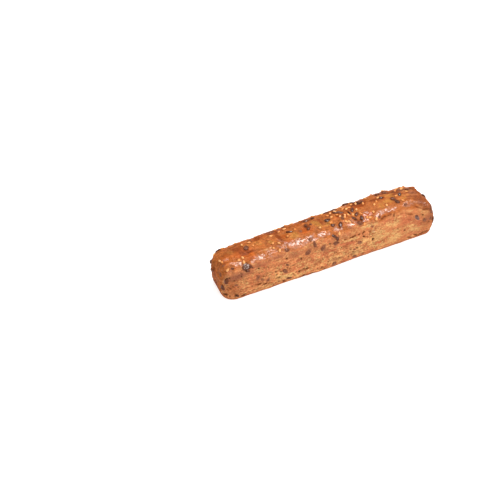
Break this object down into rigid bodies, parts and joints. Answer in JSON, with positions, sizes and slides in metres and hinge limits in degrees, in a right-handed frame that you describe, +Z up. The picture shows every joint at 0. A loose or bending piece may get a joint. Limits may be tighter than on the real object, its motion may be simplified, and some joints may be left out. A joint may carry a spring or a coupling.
{
  "type": "whole wheat breadstick",
  "caption": "Seeded whole wheat bread stick with a glazed crust, rounded shoulders, layered dough on its long sides and a flat base.",
  "frame": {"origin": "middle of the box that holds the stick, at the bottom of its flat base", "axes": "+X along the stick towards its wider end, -Y out of the long side that shows in the picture, +Z up"},
  "size_m": [0.1942, 0.0418, 0.0314],
  "materials": {
    "crust": "baked crust with an egg glaze: glossy orange-brown top, matte tan layered sides",
    "sesame": "toasted cream sesame seeds under the glaze",
    "linseed": "shiny dark brown linseeds"
  },
  "bodies": {
    "root": {"breadstick": "crust"}
  },
  "joints": []
}
